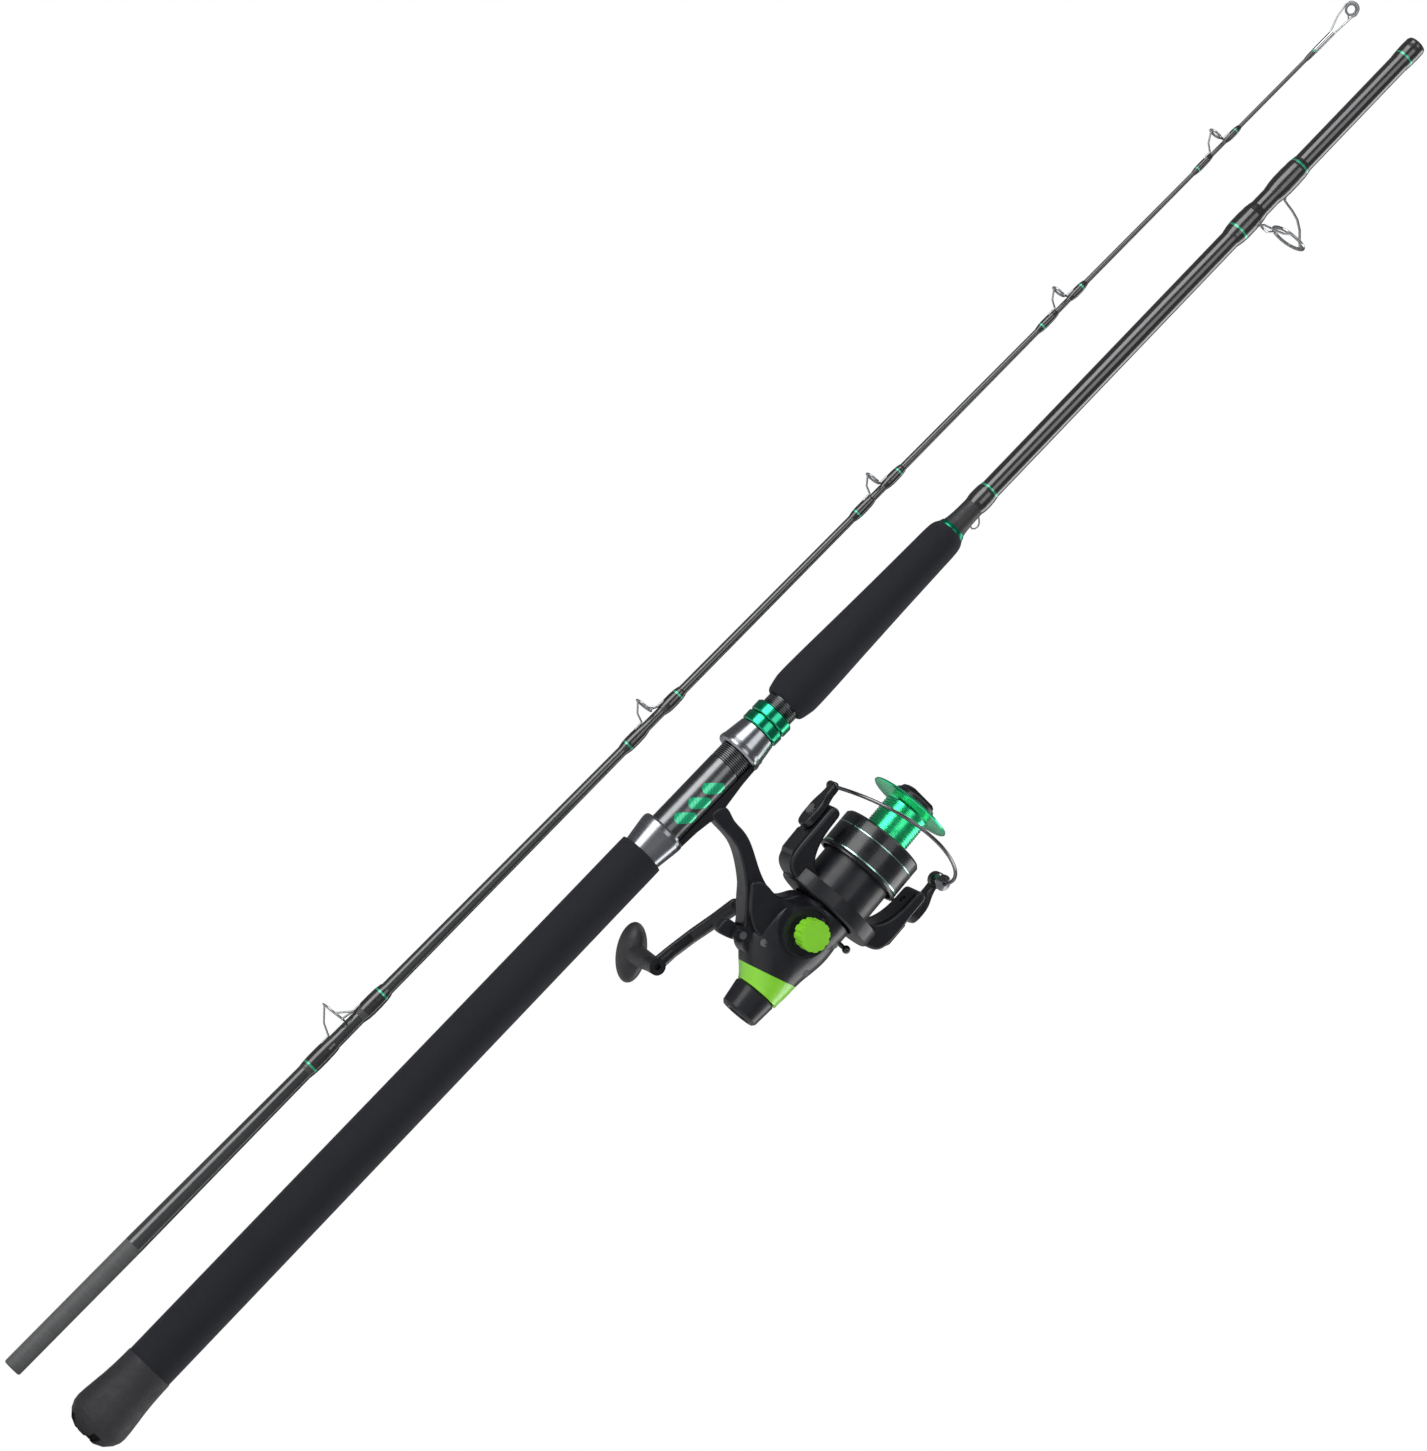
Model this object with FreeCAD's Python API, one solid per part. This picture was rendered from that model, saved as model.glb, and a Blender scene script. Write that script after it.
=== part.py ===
"""Two-piece fishing rod with a spinning reel.

The butt section stands upright with the reel fitted, and the tip section stands beside it.
Millimetres. Heights below are measured from the underside of the butt cap, and every piece is
lowered by ORIGIN_Z on export, so that the origin lies on the rod's axis at the middle of the rear grip.
+Z runs up the butt section towards the ferrule, +X points from the rod towards the reel, and +Y is the
side of the winding handle.
"""
import FreeCAD, Part
import math
import os

V = FreeCAD.Vector
X, Y, Z = V(1, 0, 0), V(0, 1, 0), V(0, 0, 1)
ORIGIN_Z = 247.0

# butt section
ROD_LENGTH = 1120.0
BLANK_R = 6.1
BLANK_TOP_R = 5.95
SOCKET_R = 5.62
SOCKET_DEPTH = 98.0
CAP_TOP = 50.5
GRIP_TOP = 444.5
GRIP_R_LOW = 14.7
GRIP_R_HIGH = 14.1
HOOD_RIM_Z = 463.4
SEAT_R = 10.3
SEAT_TOP = 577.0
THREAD_Z = 513.5
THREAD_PITCH = 1.25
THREAD_DEPTH = 0.3
SLIDER_Z = (523.9, 541.3)
NUT_Z = ((541.7, 548.7), (549.1, 556.4))
NUT_R = 12.4
CHECK_Z = (704.6, 707.4)
CONE_TOP = 725.5
KEEPER_WRAP_TOP = 739.0
WRAP_LOW = (951.0, 977.0)
WRAP_HIGH = (988.5, 1016.5)
FERRULE_WRAP_Z = 1104.0
STRIPPER = (27.2, 981.0)
STRIPPER_R = 10.7
STRIPPER_TILT = 8.0
WINDOW_Z = (475.4, 487.2, 498.8)
WINDOW_SIZE = (14.2, 6.6)

# reel, in its own frame: z runs along the spool's axis, x points away from the rod
REEL_X, REEL_Z = 111.0, 486.0
REEL_TILT = 4.0
CRANK = (-10.0, -3.5)
COVER_Y = -9.0
WALL = 2.8
NECK_R = 19.5
NECK_TOP = 14.2
COLLAR_R = 13.0
COLLAR_TOP = 22.3
SHAFT_R = 2.5
PINION_TEETH = 9
DRIVE_TEETH = 47
GEAR_ROOM_R = 13.9
CAM_DRIVE_TEETH = 17
CAM_TEETH = 21
CAM = (-4.0, -21.53)
ROTOR_RIM_Z = 15.0
ROTOR_TOP_Z = 24.7
DRUM_R = 22.6
DRUM_TOP = 50.0
ARM_HALF = 9.0
ARM_TOP = 62.5
BAIL_PIVOT_Z = 53.0
WIRE_R = 1.1
WIRE_LOOP_R = 46.6
WIRE_Z = 73.4
WIRE_TILT = 1.8
WIRE_RISE = 9.0
ROLLER = (46.6, -2.0, 75.7)
SKIRT_R = 26.5
SKIRT_Z = (45.7, 70.5)
ARBOR_R = 14.2
FLANGE_R = 26.3
FLANGE_Z = (94.0, 95.6)
FRONT_KNOB_Z = (97.0, 103.7)
FRONT_KNOB_R = 13.6
REAR_KNOB_Z = (-63.0, -46.9)
REAR_KNOB_R = (12.0, 13.5)
HANDLE_TIP = (83.3, 415.0)
ARM_PATH = ((101.3, 34.0, 481.8), (87.3, 41.5, 471.1), (87.8, 48.6, 457.9), (86.8, 53.8, 443.3),
            (84.6, 55.0, 428.1),
            (83.3, 55.2, 415.0))
ARM_HALF_WIDTH = (6.4, 4.9, 4.5, 4.3, 4.2, 4.6)
ARM_FLATNESS = 0.64
KNOB_CENTRE_Y = 90.4
KNOB_SEMI = (8.6, 11.0, 18.4)
KNOB_TURN = 37.0
SWITCH = (21.4, -5.6, 6.9)
LEVER = (77.8, 454.6)
BEZEL_R = 15.6

# tip section
TIP_X = -58.9
TIP_LEAN = 0.73
SPIGOT_R = 5.55
SPIGOT_LENGTH = 92.0
TIP_PROFILE = ((92, 5.6), (228, 4.4), (300, 3.8), (525, 2.8), (712, 2.2), (866, 1.55), (1000, 1.2),
               (1078, 1.15))
GUIDES = (
    # lower wrap, upper wrap, wrap radius, ring height, ring offset, ring radius
    ((224, 246), (266, 287.5), 5.1, 257.7, 12.9, 7.4),
    ((476, 494.2), (507.5, 524.5), 3.95, 502.1, 10.2, 5.15),
    ((665, 681.8), (691.5, 707.5), 3.2, 689.5, 8.4, 4.5),
    ((822, 838.4), (849.5, 863.5), 2.55, 846.9, 8.0, 4.05),
    ((957, 972.9), (985.3, 998), 2.05, 983.1, 7.8, 3.85),
)
TIP_TUBE_Z = (1062.0, 1080.5)
TIP_RING = (-3.2, 1097.6)

saved = []


def lathe(points, cx=0.0, cy=0.0):
    """Solid turned about Z from (radius, height) points."""
    pts = [V(cx + r, cy, z) for r, z in points]
    pts.append(pts[0])
    return Part.Face(Part.makePolygon(pts)).revolve(V(cx, cy, 0), Z, 360)


def tube(r_out, r_in, z0, z1):
    return lathe([(r_in, z0), (r_out, z0), (r_out, z1), (r_in, z1)])


def rod(radius, start, end):
    """Round bar between two points."""
    a, b = V(*start), V(*end)
    return Part.makeCylinder(radius, (b - a).Length, a, b - a)


def box(x0, x1, y0, y1, z0, z1):
    return Part.makeBox(x1 - x0, y1 - y0, z1 - z0, V(x0, y0, z0))


def y_disc(radius, cx, cz, y0, y1):
    return Part.makeCylinder(radius, y1 - y0, V(cx, y0, cz), Y)


def prism(points, y0, y1):
    """Straight-sided outline in XZ pushed along Y."""
    pts = [V(x, y0, z) for x, z in points]
    pts.append(pts[0])
    return Part.Face(Part.makePolygon(pts)).extrude(V(0, y1 - y0, 0))


def round_rims(solid, radius, flat):
    """Round the edges that lie flat, with the largest radius up to the one asked for that the shape takes."""
    rims = [e for e in solid.Edges if flat(e.BoundBox)]
    for share in (1.0, 0.8, 0.6, 0.4, 0.25) if radius else ():
        try:
            rounded = solid.makeFillet(radius * share, rims)
        except Part.OCCError:
            continue
        if rounded.isValid() and rounded.Volume > 0.5 * solid.Volume:
            return rounded
    return solid


def smooth_prism(points, y0, y1, rounding):
    """Smooth closed outline in XZ pushed along Y, with rounded rims."""
    curve = Part.BSplineCurve()
    curve.interpolate([V(x, y0, z) for x, z in points], PeriodicFlag=True)
    solid = Part.Face(Part.Wire(curve.toShape())).extrude(V(0, y1 - y0, 0))
    return round_rims(solid, rounding, lambda b: b.YMax - b.YMin < 0.01)


def wire(points, radius):
    """Bent wire: straight bars with round joints."""
    pieces = [rod(radius, a, b) for a, b in zip(points, points[1:])]
    pieces += [Part.makeSphere(radius, V(*p)) for p in points[1:-1]]
    return fuse(pieces)


def arc_points(centre, u, v, radius, a0, a1, count):
    """Points along an arc in the plane of the unit vectors u and v, in degrees."""
    out = []
    for i in range(count + 1):
        a = math.radians(a0 + (a1 - a0) * i / count)
        p = V(*centre) + u * (radius * math.cos(a)) + v * (radius * math.sin(a))
        out.append((p.x, p.y, p.z))
    return out


def fuse(shapes):
    out = shapes[0]
    for s in shapes[1:]:
        out = out.fuse(s)
    return out


def on_reel(shape):
    """Move a shape from the reel's frame to the rod's."""
    placed = shape.copy()
    placed.rotate(V(0, 0, 0), Y, -REEL_TILT)
    placed.translate(V(REEL_X, 0, REEL_Z))
    return placed


def reel_point(x, z):
    """A point of the reel's frame, given in the rod's, as (x, z)."""
    a = math.radians(REEL_TILT)
    return REEL_X + x * math.cos(a) - z * math.sin(a), REEL_Z + x * math.sin(a) + z * math.cos(a)


def on_tip(shape):
    """Stand a shape of the tip section beside the butt section, leaning as it does."""
    placed = shape.copy()
    placed.rotate(V(0, 0, 0), Y, TIP_LEAN)
    placed.translate(V(TIP_X, 0, 0))
    return placed


def save(name, *shapes):
    """Write one node, made of one or more closed solids."""
    solids = [s.copy() for shape in shapes for s in shape.Solids]
    for s in solids:
        s.translate(V(0, 0, -ORIGIN_Z))
    whole = solids[0] if len(solids) == 1 else Part.makeCompound(solids)
    assert whole.isValid() and all(s.Volume > 0 for s in solids), name
    whole.exportStep("parts/%s.step" % name)
    saved.append(name)


def gear(teeth, module, y0, y1, cx, cz, bore):
    """Spur gear with straight-flanked teeth about an axis along Y."""
    pitch = teeth * module / 2
    pts = []
    for i in range(teeth):
        for share, r in ((-0.30, -1.1), (-0.14, 0.85), (0.14, 0.85), (0.30, -1.1)):
            a = 2 * math.pi * (i + share) / teeth
            pts.append((cx + (pitch + r * module) * math.sin(a), cz + (pitch + r * module) * math.cos(a)))
    return prism(pts, y0, y1).cut(y_disc(bore, cx, cz, y0 - 1, y1 + 1))


def mesh_turn(driver_teeth, teeth, dx, dz):
    """Degrees to turn a gear so that a gap of it faces the driver's tooth, for a gear offset by dx, dz."""
    line = math.degrees(math.atan2(dx, dz))
    pitch = 360.0 / driver_teeth
    lead = (math.ceil(line / pitch) * pitch - line) * driver_teeth / teeth
    return (line + 180.0 - lead) - 180.0 / teeth


def bulge(z0, z1, r_end, r_mid, r_bore):
    """Thread wrap under epoxy: low at both ends and full between them."""
    span = z1 - z0
    pts = [(r_bore, z0), (r_end, z0)]
    for t, k in ((0.08, 0.35), (0.18, 0.75), (0.32, 1.0), (0.6, 1.0), (0.8, 0.8), (0.93, 0.35)):
        pts.append((r_end + (r_mid - r_end) * k, z0 + span * t))
    pts += [(r_end, z1), (r_bore, z1)]
    return lathe(pts)


# ---------------------------------------------------------------- butt section

def blank_r(z):
    return BLANK_R + (BLANK_TOP_R - BLANK_R) * max(0.0, z - 700.0) / (ROD_LENGTH - 700.0)


def butt_section():
    blank = lathe([(4.6, 8), (BLANK_R, 8), (BLANK_R, 700), (BLANK_TOP_R, ROD_LENGTH - 1.0),
                   (BLANK_TOP_R, ROD_LENGTH),
                   (SOCKET_R, ROD_LENGTH), (SOCKET_R, ROD_LENGTH - SOCKET_DEPTH),
                   (4.6, ROD_LENGTH - SOCKET_DEPTH - 1)])
    save("butt_blank", blank)
    cap = lathe([(0, 0), (7, 0), (12, 2.3), (15.6, 6.2), (17.4, 10), (17.8, 13.5), (17.5, 18), (16.7, 25),
                 (15.9, 31.5),
                 (15.4, 38), (15.1, 45), (15.0, CAP_TOP), (BLANK_R, CAP_TOP), (BLANK_R, 8), (0, 8)])
    slots = box(-3, 3, -20, 20, -1, 5).fuse(box(-20, 20, -3, 3, -1, 5))
    save("butt_cap", cap.cut(slots))
    save("rear_grip", lathe([(BLANK_R, CAP_TOP), (GRIP_R_LOW - 0.5, CAP_TOP), (GRIP_R_LOW, CAP_TOP + 1.2),
                             (GRIP_R_HIGH, GRIP_TOP - 2.6), (12.6, GRIP_TOP), (BLANK_R, GRIP_TOP)]))
    save("foregrip", lathe([(BLANK_R, SEAT_TOP), (SEAT_R - THREAD_DEPTH, SEAT_TOP),
                            (SEAT_R - THREAD_DEPTH, 563.8),
                            (12.0, 563.8), (12.9, 565.0), (14.3, 571), (14.8, 576), (14.5, 592),
                            (13.4, 623),
                            (12.5, 653), (11.8, 682), (11.5, 697), (10.9, 701.5), (9.4, 704.6),
                            (BLANK_R, 704.6)]))
    save("winding_check", lathe([(BLANK_R, CHECK_Z[0]), (8.7, CHECK_Z[0]), (8.8, 705.6), (8.2, CHECK_Z[1]),
                                 (BLANK_R, CHECK_Z[1])]))
    save("grip_cone", lathe([(BLANK_R, CHECK_Z[1]), (7.7, CHECK_Z[1]), (7.1, 710.5), (6.7, 714.5),
                             (6.45, 719),
                             (6.3, CONE_TOP), (BLANK_R, CONE_TOP)]))
    keeper = wire([(6.2, 0, 716.6), (8.9, 0, 716.3), (10.4, 0, 717.8), (10.8, 0, 719.9), (9.9, 0, 721.8),
                   (7.9, 0, 723.3), (6.2, 0, 723.9)], 0.5)
    save("hook_keeper", keeper)


def butt_wraps():
    r = blank_r
    keeper = bulge(CONE_TOP, KEEPER_WRAP_TOP, r(CONE_TOP) + 0.15, 6.95, r(CONE_TOP) - 0.02)
    low = bulge(WRAP_LOW[0], WRAP_LOW[1], r(951) + 0.1, 7.25, r(951) - 0.05)
    high = bulge(WRAP_HIGH[0], WRAP_HIGH[1], r(988) + 0.1, 7.1, r(988) - 0.05)
    ferrule = lathe([(SOCKET_R + 0.2, FERRULE_WRAP_Z), (6.1, FERRULE_WRAP_Z), (6.45, 1109), (6.6, 1114),
                     (6.45, 1118.6),
                     (6.0, ROD_LENGTH), (SOCKET_R + 0.2, ROD_LENGTH)])
    blank = rod(BLANK_R, (0, 0, 690), (0, 0, 700)).fuse(
        lathe([(0, 700), (BLANK_R, 700), (BLANK_TOP_R, ROD_LENGTH - 1.0), (BLANK_TOP_R, ROD_LENGTH + 1),
               (0, ROD_LENGTH + 1)]))
    bands = []
    wraps = []
    for wrap, z, radius in ((keeper, 738.0, 6.6), (low, 957.0, 7.2), (high, 1012.6, 7.0),
                            (ferrule, 1107.2, 6.7)):
        ring = tube(radius, 5.0, z, z + 1.3)
        bands.append(ring.common(wrap.fuse(tube(r(z) + 0.28, 5.0, z, z + 1.3))).cut(blank))
        wraps.append(wrap.cut(ring).cut(blank))
    save("butt_wraps", *wraps)
    save("butt_trim_bands", *bands)


def stripper_guide():
    """Large two-foot wire guide with a ceramic ring, on the reel's side of the butt section."""
    cx, cz = STRIPPER
    tilt = math.radians(STRIPPER_TILT)
    out = V(math.cos(tilt), 0, math.sin(tilt))
    loop = Part.makeTorus(STRIPPER_R + 0.3, 0.75, V(0, 0, 0), Z)
    loop.rotate(V(0, 0, 0), Y, -STRIPPER_TILT)
    loop.translate(V(cx, 0, cz))
    outer = V(cx, 0, cz) + out * (STRIPPER_R + 0.3)
    brace = wire([(6.9, 0, 1003.0), (6.9, 0, 995.0), (8.4, 0, 993.4), (17.0, 0, 993.4), (23.0, 0, 992.6),
                  (29.0, 0, 989.8), (34.0, 0, 985.6), (outer.x, 0, outer.z)], 0.75)
    legs = []
    for side in (-1, 1):
        a = math.radians(118)
        p = V(cx, 0,
              cz) + out * ((STRIPPER_R + 0.3) * math.cos(a)) + Y * (side * (STRIPPER_R + 0.3) * math.sin(a))
        legs.append(wire([(6.9, 0, 962.0), (7.1, side * 0.2, 970.5), (8.6, side * 2.4, 972.8),
                          (14.0, side * 6.6, 974.6), (18.5, side * 9.0, 976.6), (p.x, p.y, p.z)], 0.7))
    save("stripper_frame", fuse([loop, brace] + legs))
    ring = Part.makeTorus(STRIPPER_R - 1.0, 0.85, V(0, 0, 0), Z)
    ring.rotate(V(0, 0, 0), Y, -STRIPPER_TILT)
    ring.translate(V(cx, 0, cz))
    save("stripper_ring", ring)


def seat_tube():
    pts = [(BLANK_R, GRIP_TOP), (SEAT_R, GRIP_TOP), (SEAT_R, THREAD_Z)]
    z = THREAD_Z
    while z + THREAD_PITCH < SEAT_TOP - 14:
        pts += [(SEAT_R - THREAD_DEPTH, z + 0.35), (SEAT_R - THREAD_DEPTH, z + 0.6), (SEAT_R, z + 0.95),
                (SEAT_R, z + THREAD_PITCH)]
        z += THREAD_PITCH
    pts += [(SEAT_R - THREAD_DEPTH, z + 0.3), (SEAT_R - THREAD_DEPTH, SEAT_TOP), (BLANK_R, SEAT_TOP)]
    body = lathe(pts)
    length, width = WINDOW_SIZE
    frames = []
    for wz in WINDOW_Z:
        half = (length - width) / 2
        slot = fuse([Part.makeCylinder(width / 2, 14, V(-half, -14, 0), Y),
                     Part.makeCylinder(width / 2, 14, V(half, -14, 0), Y),
                     box(-half, half, -14, 0, -width / 2, width / 2)])
        slot.rotate(V(0, 0, 0), Y, -45)
        slot.translate(V(0, 0, wz))
        frames.append(slot)
    pocket = tube(SEAT_R + 1, SEAT_R - 0.7, GRIP_TOP, THREAD_Z)
    inlays = [pocket.common(f) for f in frames]
    skin = rod(SEAT_R - 0.12, (0, 0, GRIP_TOP), (0, 0, THREAD_Z))
    save("reel_seat_tube", body.cut(pocket.common(fuse(frames))))
    save("seat_inlays", *[i.common(skin) for i in inlays])


def foot_pocket(z0, z1, grow):
    """Room for one end of the reel's foot under a hood."""
    return box(SEAT_R - 3, 12.95 + grow, -6.4 - grow, 6.4 + grow, z0, z1)


def hoods():
    rim = HOOD_RIM_Z
    fixed = lathe([(SEAT_R, GRIP_TOP), (12.1, GRIP_TOP), (12.3, 446.0), (14.2, rim - 3.6),
                   (14.2, rim - 1.4), (13.5, rim),
                   (SEAT_R, rim)])
    save("rear_hood", fixed.cut(foot_pocket(rim - 9, rim + 1, 0.0)))
    z0, z1 = SLIDER_Z
    gap = SEAT_R + 0.06
    moving = lathe([(gap, z0), (13.6, z0), (14.3, z0 + 1.2), (14.3, z0 + 2.6), (13.6, z0 + 5.0),
                    (11.9, z1 - 0.5),
                    (11.4, z1), (gap, z1)])
    save("sliding_hood", moving.cut(foot_pocket(z0 - 1, z0 + 9, 0.0)))
    for name, (n0, n1) in zip(("lock_nut_lower", "lock_nut_upper"), NUT_Z):
        nut = lathe([(gap, n0), (NUT_R - 0.9, n0), (NUT_R - 0.3, n0 + 0.7), (NUT_R - 0.3, n1 - 0.7),
                     (NUT_R - 0.9, n1),
                     (gap, n1)])
        pads = tube(NUT_R, NUT_R - 1.5, n0 + 0.9, n1 - 0.9)
        for i in range(8):
            slot = box(NUT_R - 0.32, NUT_R + 1, -0.6, 0.6, n0, n1)
            slot.rotate(V(0, 0, 0), Z, i * 45 + 12)
            pads = pads.cut(slot)
        save(name, fuse([nut, pads]))


# ---------------------------------------------------------------- reel body

LEG_OUTLINE = (
    (14.0, 487.6), (24.0, 487.6), (37.5, 487.0), (45.5, 484.0), (53.0, 479.8), (60.4, 474.6), (67.8, 467.8),
    (76.0, 459.2), (86.5, 450.0), (97.0, 452.0), (104.0, 470.0), (101.0, 490.0), (93.0, 499.0),
    (87.5, 495.5),
    (84.0, 490.0), (80.4, 486.6), (76.0, 485.1), (70.4, 485.1), (63.8, 486.3), (56.0, 489.1), (48.5, 492.3),
    (40.5, 495.2), (33.0, 496.2), (24.0, 496.4), (14.0, 496.4),
)
SHOULDER_OUTLINE = (
    (59.5, 478.0), (66.0, 471.5), (75.0, 464.0), (90.0, 462.0), (100.0, 470.0), (98.0, 486.0),
    (87.0, 489.0),
    (79.0, 485.4), (71.0, 484.6), (63.5, 483.4),
)
# oval sections of the housing along the spool's axis: height, centre, half width in x, half width in y
HOUSING_SECTIONS = (
    (13.4, -0.9, 19.4, 19.4), (7.0, -2.8, 21.6, 19.0), (0.0, -4.9, 25.0, 18.4), (-9.7, -6.1, 26.2, 17.5),
    (-19.4, -7.0, 25.3, 16.5), (-28.5, -6.5, 23.2, 15.5), (-34.0, -4.8, 21.0, 15.0),
    (-40.0, -2.0, 17.4, 14.4),
    (-46.4, 0.6, 13.9, 13.8),
)
SCREWS = ((-23.0, -24.0), (11.0, -20.0), (13.6, 3.5))


def housing_loft(shrink, low, high):
    """Smooth shell form through the oval sections between two heights, made smaller all round."""
    ovals = []
    for z, cx, ax, ay in HOUSING_SECTIONS:
        if low <= z <= high:
            ax, ay = ax - shrink, ay - shrink
            flat = Part.Ellipse(V(0, 0, 0), max(ax, ay + 0.001), ay)
            oval = flat.toShape()
            oval.translate(V(cx, 0, z))
            ovals.append(Part.Wire(oval))
    return Part.makeLoft(ovals, True)


def housing_depth(x, z):
    """Half depth of the housing in y at a point of its side view."""
    for (z1, c1, a1, b1), (z0, c0, a0, b0) in zip(HOUSING_SECTIONS, HOUSING_SECTIONS[1:]):
        if z0 <= z <= z1:
            t = (z - z0) / (z1 - z0)
            cx, ax, ay = c0 + (c1 - c0) * t, a0 + (a1 - a0) * t, b0 + (b1 - b0) * t
            return ay * math.sqrt(1 - ((x - cx) / ax) ** 2)
    raise ValueError("outside the housing")


def band_cut(offset):
    """Everything on the rear side of the slanting plane where the coloured band starts."""
    slab = box(-80, 80, -60, 60, -120, 0)
    slab.rotate(V(0, 0, 0), Y, -15.5)
    slab.translate(V(0, 0, -33.2 + offset))
    return slab


def reel_foot():
    """Curved plate under the hoods, rounded to the seat tube."""
    plate = prism([(9.0, 455.6), (12.3, 455.6), (12.5, 463.8), (13.2, 475), (14.6, 484), (15.4, 487.5),
                   (15.4, 497),
                   (14.6, 503), (13.2, 513), (12.5, 523), (12.3, 530.6), (9.0, 530.6)], -6.1, 6.1)
    return plate.cut(rod(SEAT_R + 0.02, (0, 0, 440), (0, 0, 545)))


def reel_housing():
    leg = smooth_prism(LEG_OUTLINE, -6.6, 6.6, 2.8)
    shoulder = smooth_prism(SHOULDER_OUTLINE, -10.6, 10.6, 4.2)
    body = on_reel(housing_loft(0.0, -60, 20))
    neck = on_reel(lathe([(0, -2), (NECK_R - 1.6, -2), (NECK_R, 9), (NECK_R, NECK_TOP - 0.6),
                          (NECK_R - 0.6, NECK_TOP),
                          (COLLAR_R, NECK_TOP), (COLLAR_R, COLLAR_TOP), (0, COLLAR_TOP)]))
    boss = y_disc(4.6, LEVER[0], LEVER[1], -7.0, 7.0)
    whole = fuse([body, neck, leg, shoulder, boss])
    seat_side = box(-5, 30, -20, 20, 440, 550)
    root = leg.common(box(8, 30, -20, 20, 470, 510))
    whole = whole.cut(seat_side).fuse(root.cut(rod(SEAT_R + 0.02, (0, 0, 440), (0, 0, 545))))
    cavity = housing_loft(WALL, -36, 8).fuse(rod(14.6, (0, 0, -2), (0, 0, 10.0)))
    for x, z in SCREWS:
        cavity = cavity.cut(y_disc(3.0, x, z, -20, 20))
    whole = whole.cut(on_reel(cavity))
    bores = [rod(8.0, (0, 0, 8), (0, 0, 17.2)), rod(11.0, (0, 0, 17.2), (0, 0, 23)),
             rod(4.0, (0, 0, -60), (0, 0, 0))]
    for b in bores:
        whole = whole.cut(on_reel(b))
    return whole


def reel_body_parts():
    cx, cz = CRANK
    whole = reel_housing()
    cover_zone = on_reel(box(-29.5, 60, -60, COVER_Y, -60, 11.6))
    band_zone = on_reel(band_cut(0))
    drag_room = on_reel(rod(10.0, (0, 0, -45), (0, 0, -36.5)))
    rear = whole.common(band_zone).cut(drag_room)
    front = whole.cut(band_zone).cut(drag_room)

    bezel = y_disc(BEZEL_R, cx, cz, -20.4, -10.4).cut(y_disc(BEZEL_R - 1.8, cx, cz, -21, -9))
    floor = y_disc(BEZEL_R - 1.0, cx, cz, -18.6, -15.6)
    boss = fuse([floor, y_disc(10.3, cx, cz, -19.6, -13.4)])
    near = [y_disc(7.0, cx, cz, -17.2, -10), y_disc(4.06, cx, cz, -22, -10)]
    cover = fuse([front.common(cover_zone), on_reel(fuse([bezel, boss]))])
    for room in near:
        cover = cover.cut(on_reel(room))

    far_boss = y_disc(10.0, cx, cz, 13.4, 20.0).cut(y_disc(4.6, cx, cz, 10, 22))
    body = front.cut(cover_zone).cut(on_reel(y_disc(9.0, cx, cz, 13, 22)))
    body = fuse([body, on_reel(far_boss)]).cut(on_reel(y_disc(7.0, cx, cz, 10, 18.2)))
    body = body.cut(on_reel(y_disc(GEAR_ROOM_R, cx, cz, 4.6, 9.6))).cut(on_reel(bezel)).fuse(reel_foot())
    x0, y0, z0 = SWITCH
    px, pz = LEVER
    lever_room = fuse([y_disc(5.0, px, pz, -3.4, 3.4), box(60, px, -3.4, 3.4, 440, pz + 4.6)])
    body = body.cut(lever_room).cut(y_disc(1.25, px, pz, -20, 20))
    body = body.cut(y_disc(2.5, px, pz, 7.1, 20)).cut(y_disc(2.5, px, pz, -20, -7.1))
    body = body.cut(on_reel(rod(1.5, (x0 - 9, y0, z0), (x0 + 4, y0, z0))))

    screws = []
    for x, z in SCREWS:
        head = -housing_depth(x, z) + 0.4
        cover = cover.cut(on_reel(y_disc(2.3, x, z, -30, head + 1.6)))
        cover = cover.cut(on_reel(y_disc(1.2, x, z, -30, -8.5)))
        body = body.cut(on_reel(y_disc(1.2, x, z, -9.5, -2.0)))
        screws.append(on_reel(fuse([y_disc(2.2, x, z, head, head + 1.6),
                                    y_disc(1.1, x, z, head + 1.5, -2.5)])))
    save("reel_body", biggest(body))
    save("side_cover", biggest(cover))
    save("rear_band", biggest(rear))
    save("cover_screws", *screws)


def biggest(shape):
    return max(shape.Solids, key=lambda s: s.Volume)


def reel_fixed_internals():
    cx, cz = CRANK
    near = y_disc(7.0, cx, cz, -17.0, -13.5).cut(y_disc(4.06, cx, cz, -18, -12))
    far = y_disc(7.0, cx, cz, 14.0, 17.8).cut(y_disc(4.06, cx, cz, 13, 19))
    pinion = tube(8.0, 4.26, 13.6, 17.0)
    save("body_bearings", on_reel(near), on_reel(far), on_reel(pinion))
    save("anti_reverse_clutch", on_reel(tube(11.0, 4.4, 17.4, 22.0)))
    save("rear_drag_washers", *[on_reel(tube(9.6, 4.4, z, z + 1.6)) for z in (-44.6, -42.6, -40.6)])


# ---------------------------------------------------------------- reel, moving pieces

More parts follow.
